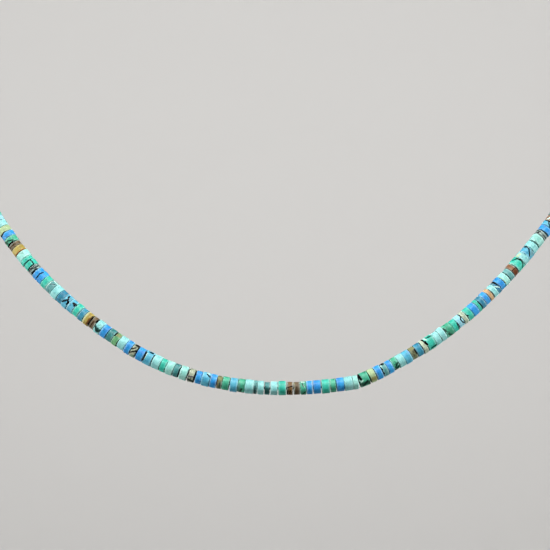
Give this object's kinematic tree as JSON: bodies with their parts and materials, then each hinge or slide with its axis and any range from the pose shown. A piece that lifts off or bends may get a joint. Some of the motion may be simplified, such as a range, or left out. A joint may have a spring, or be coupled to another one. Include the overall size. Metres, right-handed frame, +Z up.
{
  "type": "beaded necklace",
  "caption": "Single strand necklace of small turquoise disc beads, strung face to face in one loop and closed by a plain barrel clasp behind the neck.",
  "frame": {"origin": "the nape, at the middle of the clasp, where the loop hangs on the neck", "axes": "+Z up, -Y towards the front of the wearer, +X to the right as seen from the front"},
  "size_m": [0.1477, 0.1075, 0.0965],
  "materials": {
    "bead_stone": "hand-cut turquoise and like stones, satin polish, from pale aqua to bright blue and green, some cream, ochre and brown",
    "clasp_metal": "polished sterling silver",
    "thread_cord": "fine dark beading thread of three twisted plies, waxed"
  },
  "bodies": {
    "root": {"bead_string_left": "bead_stone", "bead_string_right": "bead_stone", "clasp": "clasp_metal"}
  },
  "joints": []
}
